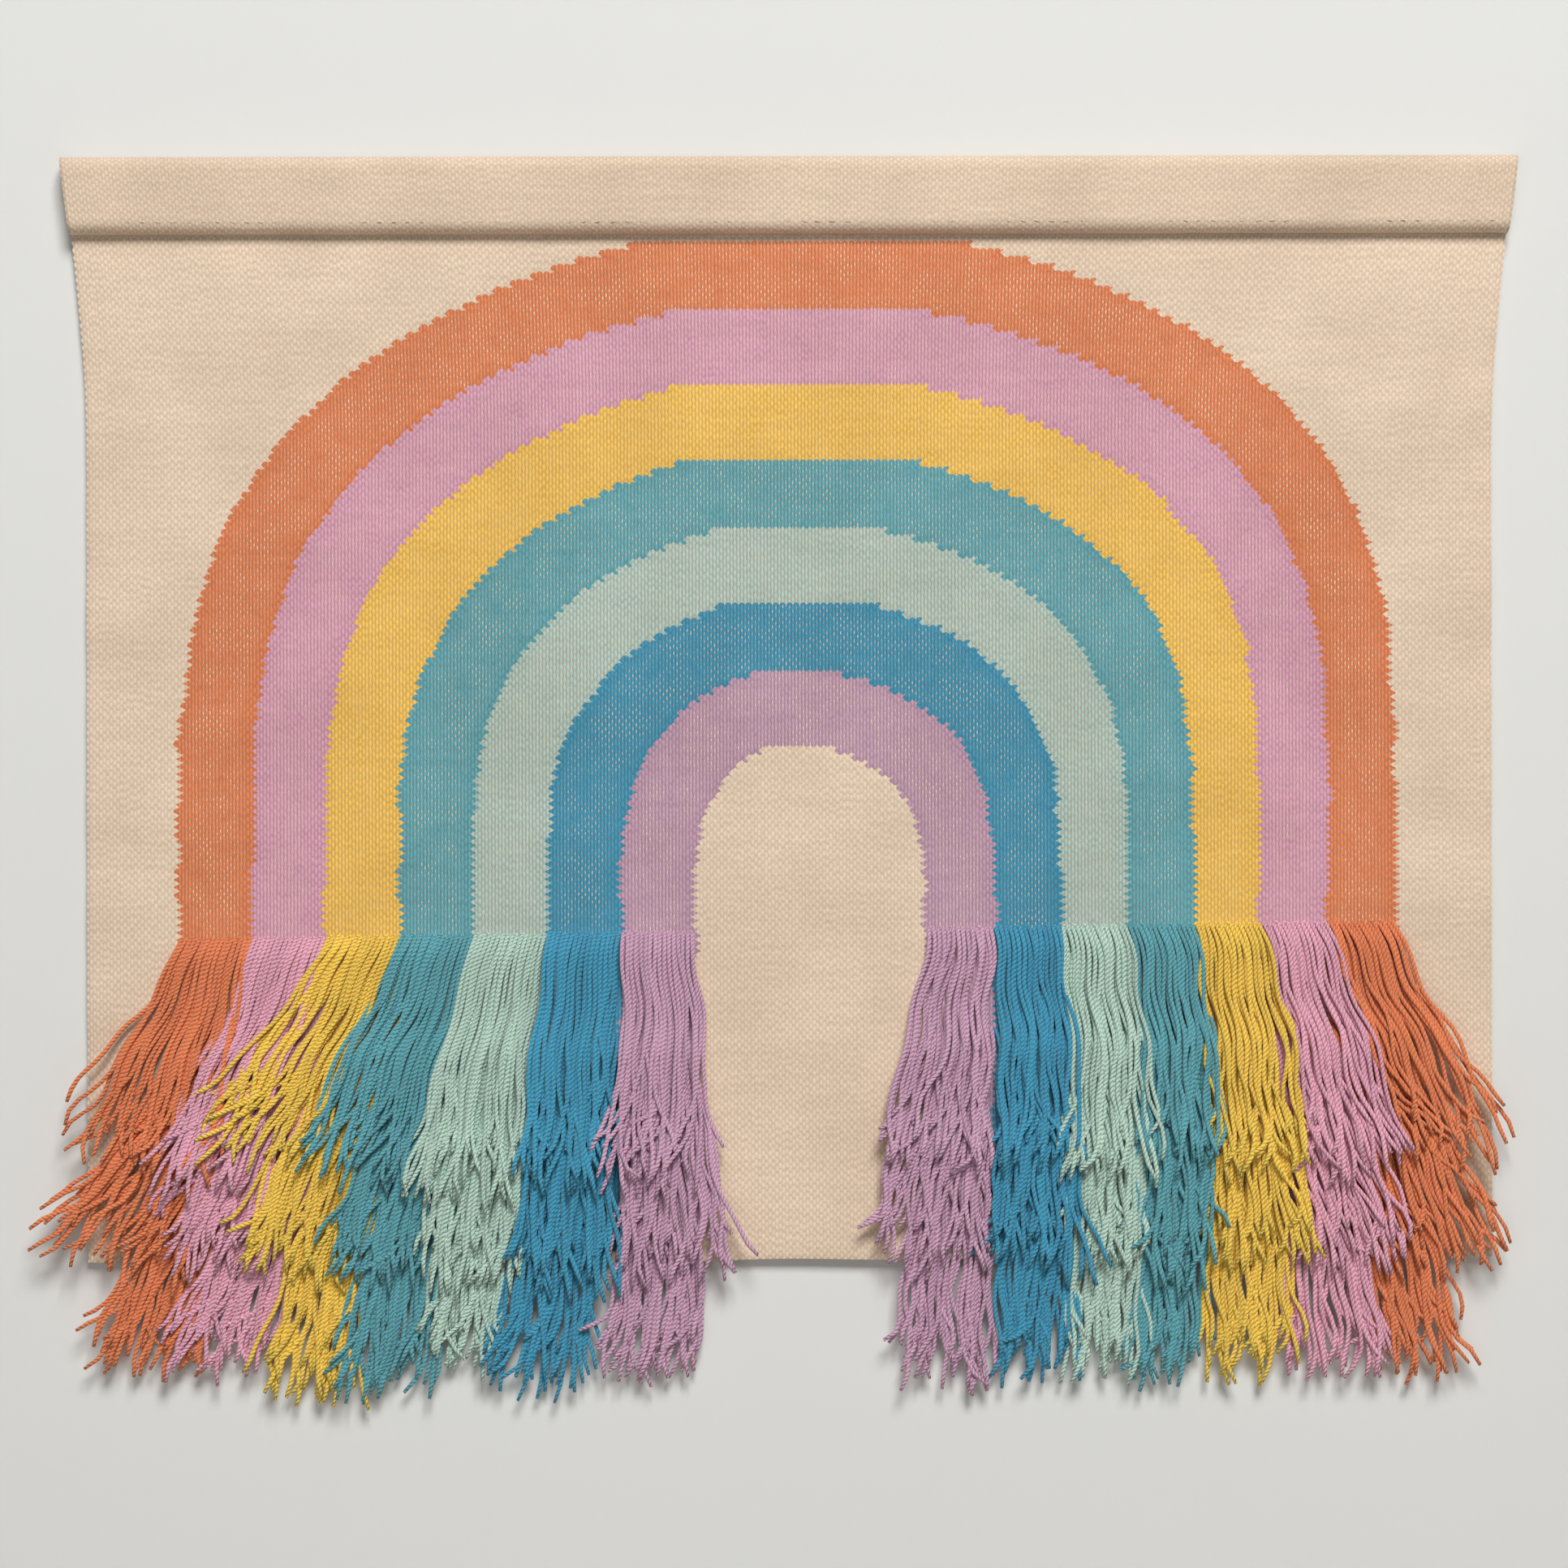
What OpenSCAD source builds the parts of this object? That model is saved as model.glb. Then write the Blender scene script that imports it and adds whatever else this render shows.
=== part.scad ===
// Woven tapestry wall hanging: a rod pocket with a batten in it, a cloth of nested arches, and knotted yarn fringes.
// Origin: the middle of the pocket's back face, on the wall. +X to the right, +Y into the wall, +Z up.

/* [Cloth] */
// Width of the cloth below the draw-in
cloth_w = 867; // [700:1:1200]
// Drop of the cloth from the seam to its bottom edge
cloth_drop = 630; // [520:1:900]
// Thickness of the woven cloth
cloth_t = 3; // [2:0.1:5]
// Extra width on each side at the top of the pocket
draw_in = 15.5; // [0:0.5:30]
// Height over which the sides draw in
draw_len = 170; // [80:1:300]
// Width of each selvedge
selvedge_w = 4; // [2:0.5:8]
// Height of the rolled hem at the bottom
hem_h = 6; // [3:0.5:12]
// How far the hem stands out at the back
hem_back = 0.8; // [0.2:0.1:2]

/* [Batten] */
// Length of the batten
batten_l = 846; // [650:1:1150]
// Height of the batten
batten_h = 41; // [20:1:70]
// Thickness of the batten
batten_t = 10; // [5:0.5:20]
// Radius of the batten's long edges
batten_r = 2; // [0.5:0.5:2.5]
// Clearance between the batten and the pocket, all round
batten_clear = 0.5; // [0.3:0.1:2]

/* [Seam] */
// Gap between the pocket and the axis on which the cloth swings
swing_gap = 2.4; // [2:0.1:6]
// Length of one stitch
stitch_l = 5; // [3:0.5:8]
// Distance from one stitch to the next
stitch_pitch = 9; // [8.5:0.5:20]
// Thickness of the stitching thread
thread_d = 1.6; // [0.8:0.1:2.5]
// Height of the stitches above the pocket's bottom edge
stitch_up = 7; // [6:0.5:12]

/* [Arches] */
// Plain cloth between the left edge and the outermost arch
margin_left = 56; // [30:1:100]
// Plain cloth between the right edge and the outermost arch
margin_right = 59.5; // [30:0.5:100]
// Plain cloth between the swing axis and the outermost crown
margin_top = 1; // [1:0.5:60]
// Width of a band on the left
band_left = 45.5; // [25:0.1:50]
// Width of a band on the right
band_right = 41.4; // [25:0.1:50]
// Width of a band at the crown
band_crown = 44.7; // [25:0.1:50]
// Drop from the outermost crown to where its left side turns straight
spring_left = 400; // [300:1:420]
// Drop from the outermost crown to where its right side turns straight
spring_right = 396; // [300:1:420]
// Further drop of that turn for each arch inwards
spring_step = 4; // [0:0.5:8]
// Fullness of the left sides towards the crown, where 2 is an ellipse
slope_left = 1.55; // [1.3:0.05:3]
// Fullness of the right sides towards the crown
slope_right = 1.65; // [1.3:0.05:3]
// Fullness of the left shoulders
full_left = 3.45; // [1.6:0.05:4.5]
// Fullness of the right shoulders
full_right = 3.95; // [1.6:0.05:4.5]
// Share of an arch's height by which its curve is cut off flat at the crown
crown_cut = 0.031; // [0:0.001:0.06]

/* [Fringe] */
// Length of the yarns
yarn_l = 156; // [100:1:200]
// Thickness of one tier of yarns
tier_t = 6; // [4:0.5:10]
// Thickness of one tier at its knots
knot_t = 3; // [2:0.5:4]
// Space between one tier and the next, and between the fringe and the cloth
tier_gap = 0.6; // [0.4:0.1:2]
// Height, above and below a row of knots, over which the tiers in front of it step out
step_out = 14; // [8:1:20]
// Distance from one row of knots down to the next
tier_pitch = 62; // [40:1:65]
// Height of the first row of knots above the bottom edge
first_row_up = 202; // [195:1:260]
// Rise of the rows of knots from left to right, in mm for each mm
row_rise = 0.013; // [0:0.001:0.02]
// Space between neighbouring legs
leg_gap = 4; // [4:0.5:8]
// How far each line between the left legs leans at the lowest tips, from the outermost inwards
lean_left = [-75, -45, -40, -40, -30, -25, -10, 15];
// The same for the right legs
lean_right = [65, 40, 20, 5, 5, 5, 0, -35];

/* [Hidden] */
COLOURS = ["terracotta", "pink", "yellow", "teal", "mint", "blue", "mauve"];
TINTS = [[0.83, 0.52, 0.38], [0.80, 0.61, 0.67], [0.89, 0.73, 0.41], [0.45, 0.63, 0.65],
         [0.69, 0.74, 0.69], [0.35, 0.56, 0.65], [0.72, 0.58, 0.64]];
SIDES = ["left", "right"];
TIERS = ["top", "middle", "lower"];
CREAM = [0.87, 0.79, 0.69];
bands = len(COLOURS);
legs = [for (side = SIDES) for (i = [0:bands - 1]) [i, side]];
arc_steps = 24;
edge_steps = 10;

function band_name(i) = str("band_", COLOURS[i]);
function tier_name(leg, tier) = str("fringe_", COLOURS[leg[0]], "_", leg[1], "_", tier);

// pocket: one fold of the cloth round the batten
cavity_h = batten_h + 2 * batten_clear;
cavity_t = batten_t + 2 * batten_clear;
pocket_h = cavity_h + 2 * cloth_t;
pocket_t = cavity_t + 2 * cloth_t;
pocket_top = pocket_h / 2;
pocket_bottom = -pocket_h / 2;
fold_r = cloth_t + 1;
inner_r = 1;

// cloth: it hangs one cloth thickness clear of the wall
cloth_back = -cloth_t;
cloth_front = -2 * cloth_t;
swing_z = pocket_bottom - swing_gap;
cloth_bottom = swing_z - cloth_drop;
half_w = cloth_w / 2;

// arches, counted from the outside in
crown_z = swing_z - margin_top;
function left_x(i) = -half_w + margin_left + i * band_left;
function right_x(i) = half_w - margin_right - i * band_right;
function top_z(i) = crown_z - i * band_crown;
function turn_z(i, spring) = crown_z - spring - i * spring_step;

// fringe: each tier starts on the cloth and lies over the tiers that start below it
function tier_number(tier) = search([tier], TIERS)[0];
rows = len(TIERS);
knot_back = cloth_front - tier_gap;
first_row_z = cloth_bottom + first_row_up;
leg_fall = 2 * tier_pitch + yarn_l;
function line_x(side, i) = side == "left" ? left_x(i) : right_x(i);
function lean(side, i) = side == "left" ? lean_left[i] : lean_right[i];
function line_at(side, i, z) = line_x(side, i) + lean(side, i) * (first_row_z - z) / leg_fall;
function leg_mid(leg) = (line_x(leg[1], leg[0]) + line_x(leg[1], leg[0] + 1)) / 2;
function row_z(leg, tier) = first_row_z + row_rise * leg_mid(leg) - tier_number(tier) * tier_pitch;

// half width of the cloth at a height, wider towards the top of the pocket
function drawn(z) = max(0, 1 - (pocket_top - z) / draw_len);
function edge_x(z) = half_w + draw_in * pow(drawn(z), 1.5);
function edge_z(i, high, low) = high + (low - high) * pow(i / edge_steps, 2);

// a strip of the cloth's face between two heights, inset from both side edges
function cloth_outline(high, low, inset) = concat(
    [for (i = [0:edge_steps]) let (z = edge_z(i, high, low)) [edge_x(z) - inset, z]],
    [for (i = [edge_steps:-1:0]) let (z = edge_z(i, high, low)) [inset - edge_x(z), z]]);

// an arch of the given number, open downwards to the hem
function shoulder(side_x, turn, crown, slope, full, a) = [
    side_x * pow(cos(a), 2 / slope),
    min(crown, turn + (1 + crown_cut) * (crown - turn) * pow(sin(a), 2 / full))];
function arch_outline(i) = concat(
    [[left_x(i), cloth_bottom + hem_h]],
    [for (k = [0:arc_steps])
        shoulder(left_x(i), turn_z(i, spring_left), top_z(i), slope_left, full_left, 90 * k / arc_steps)],
    [for (k = [arc_steps - 1:-1:0])
        shoulder(right_x(i), turn_z(i, spring_right), top_z(i), slope_right, full_right, 90 * k / arc_steps)],
    [[right_x(i), cloth_bottom + hem_h]]);

// stands a face drawn in X and Z up, from one depth forward to another
module upright(back, front) {
    translate([0, back, 0])
        rotate([90, 0, 0])
            linear_extrude(back - front)
                children();
}

module rounded_face(w, h, r) {
    square([w - 2 * r, h], center = true);
    square([w, h - 2 * r], center = true);
    for (x = [-1, 1], y = [-1, 1])
        translate([x * (w / 2 - r), y * (h / 2 - r)])
            circle(r, $fn = 32);
}

// lays a section drawn in Y and Z along X
module along_x(l) {
    rotate([90, 0, 90])
        linear_extrude(l, center = true)
            children();
}

module rod_pocket() {
    color(CREAM)
        intersection() {
            translate([0, -pocket_t / 2, 0])
                along_x(2 * edge_x(pocket_top) + 2)
                    difference() {
                        rounded_face(pocket_t, pocket_h, fold_r);
                        rounded_face(cavity_t, cavity_h, inner_r);
                    }
            upright(1, -pocket_t - 1)
                polygon(cloth_outline(pocket_top, pocket_bottom, 0));
        }
}

module seam_stitching() {
    run = 2 * edge_x(pocket_bottom) - 2 * selvedge_w - stitch_l;
    stitches = floor(run / stitch_pitch);
    z = pocket_bottom + stitch_up;
    color([0.93, 0.89, 0.80])
        for (k = [0:stitches])
            translate([(k - stitches / 2) * stitch_pitch, -pocket_t - thread_d / 2, z])
                rotate([0, 90, 0])
                    cylinder(h = stitch_l, d = thread_d, center = true, $fn = 16);
}

module batten() {
    color([0.78, 0.64, 0.45])
        translate([0, -pocket_t / 2, 0])
            along_x(batten_l)
                rounded_face(batten_t, batten_h, batten_r);
}

module ground_cloth() {
    color(CREAM)
        upright(cloth_back, cloth_front)
            difference() {
                polygon(cloth_outline(swing_z, cloth_bottom, selvedge_w));
                polygon(arch_outline(0));
                translate([0, cloth_bottom])
                    square([2 * cloth_w, 2 * hem_h], center = true);
            }
}

module band(i) {
    color(TINTS[i])
        upright(cloth_back, cloth_front)
            difference() {
                polygon(arch_outline(i));
                polygon(arch_outline(i + 1));
            }
}

module arch_centre() {
    color(CREAM)
        upright(cloth_back, cloth_front)
            polygon(arch_outline(bands));
}

module bottom_hem() {
    color([0.90, 0.83, 0.73])
        upright(cloth_back + hem_back, cloth_front)
            polygon(cloth_outline(cloth_bottom + hem_h, cloth_bottom, selvedge_w));
}

module selvedge(side) {
    color([0.90, 0.83, 0.73])
        upright(cloth_back, cloth_front)
            intersection() {
                difference() {
                    polygon(cloth_outline(swing_z, cloth_bottom, 0));
                    polygon(cloth_outline(swing_z, cloth_bottom, selvedge_w));
                }
                translate([side * cloth_w / 2, swing_z - cloth_drop / 2])
                    square([cloth_w, cloth_drop], center = true);
            }
}

// side view of a tier, in Y and Z: it steps out where it passes each row of knots below its own
module tier_section(high, below) {
    low = high - yarn_l;
    steps = [for (k = [1:1:below], e = [1, -1])
        [knot_back - (k - (e + 1) / 2) * (tier_t + tier_gap), high - k * tier_pitch + e * step_out]];
    back = concat([[knot_back, high]], steps, [[knot_back - below * (tier_t + tier_gap), low]]);
    front = concat(
        [[knot_back - knot_t, high], [knot_back - tier_t, high - step_out]],
        [for (p = steps) [p[0] - tier_t, p[1]]],
        [[back[len(back) - 1][0] - tier_t, low]]);
    polygon(concat(back, [for (k = [len(front) - 1:-1:0]) front[k]]));
}

// one tier of yarns, hanging from its row of knots
module fringe(leg, tier) {
    side = leg[1];
    outer = leg[0];
    away = side == "left" ? leg_gap / 2 : -leg_gap / 2;
    high = row_z(leg, tier);
    low = high - yarn_l;
    color(TINTS[outer])
        intersection() {
            along_x(2 * cloth_w)
                tier_section(high, rows - 1 - tier_number(tier));
            upright(0, cloth_front - rows * (tier_t + tier_gap) - 1)
                polygon([
                    [line_at(side, outer, high) + away, high],
                    [line_at(side, outer + 1, high) - away, high],
                    [line_at(side, outer + 1, low) - away, low],
                    [line_at(side, outer, low) + away, low]]);
        }
}

rod_pocket();
seam_stitching();
batten();
ground_cloth();
arch_centre();
bottom_hem();
selvedge(-1);  // selvedge_left
selvedge(1);  // selvedge_right
for (i = [0:bands - 1])
    band(i);
for (leg = legs, tier = TIERS)
    fringe(leg, tier);
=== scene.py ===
import math
import random

import bpy
import numpy as np
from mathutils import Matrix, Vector


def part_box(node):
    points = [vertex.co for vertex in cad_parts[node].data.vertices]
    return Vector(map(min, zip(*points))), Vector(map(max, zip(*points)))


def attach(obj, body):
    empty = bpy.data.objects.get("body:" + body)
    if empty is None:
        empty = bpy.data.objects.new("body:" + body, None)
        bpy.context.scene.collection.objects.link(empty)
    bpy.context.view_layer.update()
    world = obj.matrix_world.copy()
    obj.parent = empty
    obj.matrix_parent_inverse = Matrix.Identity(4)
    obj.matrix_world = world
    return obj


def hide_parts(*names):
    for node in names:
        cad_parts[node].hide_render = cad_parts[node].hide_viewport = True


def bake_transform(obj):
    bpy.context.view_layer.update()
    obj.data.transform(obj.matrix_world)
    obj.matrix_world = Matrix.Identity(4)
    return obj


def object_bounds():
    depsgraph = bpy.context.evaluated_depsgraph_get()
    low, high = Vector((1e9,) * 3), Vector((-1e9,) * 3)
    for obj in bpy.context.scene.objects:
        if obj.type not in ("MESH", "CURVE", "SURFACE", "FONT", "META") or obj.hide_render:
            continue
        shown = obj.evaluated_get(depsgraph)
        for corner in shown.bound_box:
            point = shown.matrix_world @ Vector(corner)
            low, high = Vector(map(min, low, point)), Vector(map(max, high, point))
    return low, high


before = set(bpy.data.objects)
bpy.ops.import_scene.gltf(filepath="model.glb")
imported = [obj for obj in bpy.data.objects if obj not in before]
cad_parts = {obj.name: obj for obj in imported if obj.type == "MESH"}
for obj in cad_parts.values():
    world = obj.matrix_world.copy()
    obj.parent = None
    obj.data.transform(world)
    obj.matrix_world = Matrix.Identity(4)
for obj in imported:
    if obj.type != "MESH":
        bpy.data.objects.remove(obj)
cadBox = [list(corner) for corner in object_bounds()]
bandNames = ["terracotta", "pink", "yellow", "teal", "mint", "blue", "mauve"]
tierNames = ["top", "middle", "lower"]
rng = np.random.default_rng(41)

# camera, wall, floor and light

camera = {"lens": 85.0, "sensor": 36.0, "viewWidth": 0.9595, "x": -0.0036, "z": -0.363, "roll": -0.1}


def addCamera():
    data = bpy.data.cameras.new("camera")
    data.lens = camera["lens"]
    data.sensor_width = camera["sensor"]
    holder = bpy.data.objects.new("camera", data)
    distance = camera["viewWidth"] * camera["lens"] / camera["sensor"]
    holder.location = (camera["x"], cadBox[0][1] - distance, camera["z"])
    holder.rotation_euler = (math.radians(90), 0, 0)
    holder.rotation_euler.rotate_axis("Z", math.radians(camera["roll"]))
    bpy.context.scene.collection.objects.link(holder)
    bpy.context.scene.camera = holder


room = {
    "wall": 0.0015,
    "wallSize": 6.0,
    "floor": -1.3,
    "paint": (0.79, 0.798, 0.785),
    "boards": (0.36, 0.34, 0.31),
}


def paintMaterial(name, colour, oneSided):
    material = bpy.data.materials.new(name)
    material.use_nodes = True
    nodes, links = material.node_tree.nodes, material.node_tree.links
    shader = nodes["Principled BSDF"]
    shader.inputs["Roughness"].default_value = 0.9
    shader.inputs["Specular IOR Level"].default_value = 0.15
    grain = nodes.new("ShaderNodeTexNoise")
    grain.inputs["Scale"].default_value = 2.2
    grain.inputs["Detail"].default_value = 3.0
    ramp = nodes.new("ShaderNodeValToRGB")
    ramp.color_ramp.elements[0].color = [c * 0.97 for c in colour] + [1]
    ramp.color_ramp.elements[1].color = list(colour) + [1]
    place = nodes.new("ShaderNodeTexCoord")
    links.new(place.outputs["Object"], grain.inputs["Vector"])
    links.new(grain.outputs["Fac"], ramp.inputs["Fac"])
    links.new(ramp.outputs["Color"], shader.inputs["Base Color"])
    if oneSided:  # the wall hides neither the back of the hanging nor the light that falls on it
        clear = nodes.new("ShaderNodeBsdfTransparent")
        side = nodes.new("ShaderNodeNewGeometry")
        way = nodes.new("ShaderNodeLightPath")
        choose = nodes.new("ShaderNodeMixShader")
        direct = nodes.new("ShaderNodeMath")
        direct.operation = "LESS_THAN"
        direct.inputs[1].default_value = 1.5  # only the first bounce
        lets = nodes.new("ShaderNodeMath")
        lets.operation = "MULTIPLY_ADD"
        lets.use_clamp = True
        links.new(way.outputs["Ray Depth"], direct.inputs[0])
        links.new(way.outputs["Is Shadow Ray"], lets.inputs[0])
        links.new(direct.outputs[0], lets.inputs[1])
        links.new(side.outputs["Backfacing"], lets.inputs[2])
        links.new(lets.outputs[0], choose.inputs["Fac"])
        links.new(shader.outputs["BSDF"], choose.inputs[1])
        links.new(clear.outputs["BSDF"], choose.inputs[2])
        links.new(choose.outputs["Shader"], nodes["Material Output"].inputs["Surface"])
    return material


def addRoom():
    half = room["wallSize"] / 2
    bpy.ops.object.select_all(action="DESELECT")
    bpy.ops.mesh.primitive_plane_add(size=room["wallSize"], location=(0, room["wall"], room["floor"] + half),
                                     rotation=(math.radians(90), 0, 0))
    wall = bpy.context.object
    wall.name = "wall"
    wall.data.materials.append(paintMaterial("wallPaint", room["paint"], True))
    bpy.ops.mesh.primitive_plane_add(size=room["wallSize"], location=(0, room["wall"] - half, room["floor"]))
    floor = bpy.context.object
    floor.name = "floor"
    floor.data.materials.append(paintMaterial("floorPaint", room["boards"], False))


lamps = {
    "key": {"at": (0.7, -4.2, 3.2), "size": 1.95, "power": 280.0, "colour": (1.0, 0.99, 0.97)},
    "fill": {"at": (-1.0, -4.2, -1.0), "size": 2.4, "power": 29.0, "colour": (0.98, 0.99, 1.0)},
    "back": {"at": (0.6, 2.6, 0.3), "size": 1.6, "power": 45.0, "colour": (1.0, 1.0, 1.0)},
    "sky": 0.07,
}


def addLights():
    middle = Vector((0, 0, camera["z"]))
    for name in ("key", "fill", "back"):
        lamp = lamps[name]
        data = bpy.data.lights.new(name, "AREA")
        data.size = lamp["size"]
        data.energy = lamp["power"]
        data.color = lamp["colour"]
        holder = bpy.data.objects.new(name, data)
        holder.location = lamp["at"]
        holder.rotation_euler = (middle - Vector(lamp["at"])).to_track_quat("-Z", "Y").to_euler()
        bpy.context.scene.collection.objects.link(holder)
    world = bpy.data.worlds.new("sky")
    world.use_nodes = True
    world.node_tree.nodes["Background"].inputs["Color"].default_value = (0.96, 0.97, 1.0, 1)
    world.node_tree.nodes["Background"].inputs["Strength"].default_value = lamps["sky"]
    bpy.context.scene.world = world


addCamera()
addRoom()
addLights()
bpy.context.scene.view_settings.view_transform = "Standard"
print("camera, room and lights are in place")

# node helpers


def linear(rgb):
    return [((c + 0.055) / 1.055) ** 2.4 if c > 0.04045 else c / 12.92 for c in (v / 255 for v in rgb)]


class Recipe:
    # a material's node tree, with short ways to add sums and mixes

    def __init__(self, name, roughness, sheen, sheenTint):
        self.material = bpy.data.materials.new(name)
        self.material.use_nodes = True
        self.tree = self.material.node_tree
        self.shader = self.tree.nodes["Principled BSDF"]
        self.shader.inputs["Roughness"].default_value = roughness
        self.shader.inputs["Specular IOR Level"].default_value = 0.18
        self.shader.inputs["Sheen Weight"].default_value = sheen
        self.shader.inputs["Sheen Roughness"].default_value = 0.55
        self.shader.inputs["Sheen Tint"].default_value = list(sheenTint) + [1]

    def put(self, socket, value):
        if isinstance(value, bpy.types.NodeSocket):
            self.tree.links.new(value, socket)
        elif value is not None:
            socket.default_value = value

    def maths(self, operation, *values, clamp=False):
        node = self.tree.nodes.new("ShaderNodeMath")
        node.operation = operation
        node.use_clamp = clamp
        for socket, value in zip(node.inputs, values):
            self.put(socket, value)
        return node.outputs[0]

    def fade(self, value, low, high, first=0.0, last=1.0):
        node = self.tree.nodes.new("ShaderNodeMapRange")
        node.interpolation_type = "SMOOTHSTEP"
        self.put(node.inputs["Value"], value)
        for name, part in (("From Min", low), ("From Max", high), ("To Min", first), ("To Max", last)):
            self.put(node.inputs[name], part)
        return node.outputs["Result"]

    def mix(self, share, first, second, blend="MIX"):
        node = self.tree.nodes.new("ShaderNodeMix")
        node.data_type = "RGBA"
        node.blend_type = blend
        self.put(node.inputs["Factor"], share)
        self.put(node.inputs["A"], first if isinstance(first, bpy.types.NodeSocket) else list(first) + [1])
        self.put(node.inputs["B"], second if isinstance(second, bpy.types.NodeSocket) else list(second) + [1])
        return node.outputs["Result"]

    def noise(self, vector, scale, detail=2.0, rough=0.5):
        node = self.tree.nodes.new("ShaderNodeTexNoise")
        self.put(node.inputs["Vector"], vector)
        node.inputs["Scale"].default_value = scale
        node.inputs["Detail"].default_value = detail
        node.inputs["Roughness"].default_value = rough
        return node.outputs["Fac"]

    def coordinates(self):
        return self.tree.nodes.new("ShaderNodeTexCoord").outputs["Object"]

    def parts(self, vector):
        node = self.tree.nodes.new("ShaderNodeSeparateXYZ")
        self.put(node.inputs[0], vector)
        return node.outputs

    def join(self, x, y, z=0.0):
        node = self.tree.nodes.new("ShaderNodeCombineXYZ")
        for socket, value in zip(node.inputs, (x, y, z)):
            self.put(socket, value)
        return node.outputs[0]

    def map(self, name):
        node = self.tree.nodes.new("ShaderNodeUVMap")
        node.uv_map = name
        return node.outputs[0]

    def attribute(self, name):
        node = self.tree.nodes.new("ShaderNodeAttribute")
        node.attribute_name = name
        return node.outputs["Fac"]

    def wobble(self, value, noise, reach):
        # pushes a value up and down by up to half the reach
        return self.maths("ADD", value, self.maths("MULTIPLY", self.maths("SUBTRACT", noise, 0.5), reach))

    def tone(self, body, noise, low, high, dark, light):
        # darkens and lightens a colour by a noise
        return self.mix(1.0, body, self.mix(self.fade(noise, low, high), dark, light), "MULTIPLY")

    def finish(self, colour, height, depth, strength=1.0):
        bump = self.tree.nodes.new("ShaderNodeBump")
        bump.inputs["Distance"].default_value = depth
        bump.inputs["Strength"].default_value = strength
        self.put(bump.inputs["Height"], height)
        self.put(self.shader.inputs["Normal"], bump.outputs["Normal"])
        self.put(self.shader.inputs["Base Color"], colour)
        return self.material


# woven cloth

weave = {
    "dyes": {
        "terracotta": (230, 140, 97), "pink": (223, 169, 193), "yellow": (250, 204, 103),
        "teal": (106, 174, 187), "mint": (186, 208, 200), "blue": (74, 155, 189),
        "mauve": (198, 162, 187), "cream": (235, 215, 193), "pocket": (229, 208, 186),
    },
    # the warp peeping between cream or pocket floats is drawn darker: its own colour with painted shade from
    # the recess
    "warpSeenInShade": {"cream": (216, 184, 160), "pocket": (210, 182, 158)},
    "warpColour": (244, 222, 194),
    "warpShown": {
        "terracotta": 0.85, "pink": 0.7, "yellow": 0.55, "teal": 0.7, "mint": 0.65, "blue": 0.62,
        "mauve": 0.85, "cream": 0.5, "pocket": 0.42,
    },
    # painted shade: the colour drawn in the grooves between floats, as a share of the dye
    "gaps": {"cream": (0.85, 0.81, 0.78), "pocket": (0.85, 0.81, 0.78)},
    "gap": (0.74, 0.68, 0.64),
    "bumpDepth": 0.00034,
    "uneven": (0.25, 0.9),
    "slip": 1.6,
    "lobe": 0.28,
    "ribs": {"cream": 0.14, "pocket": 0.14},
    "rib": 0.22,
}


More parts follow.
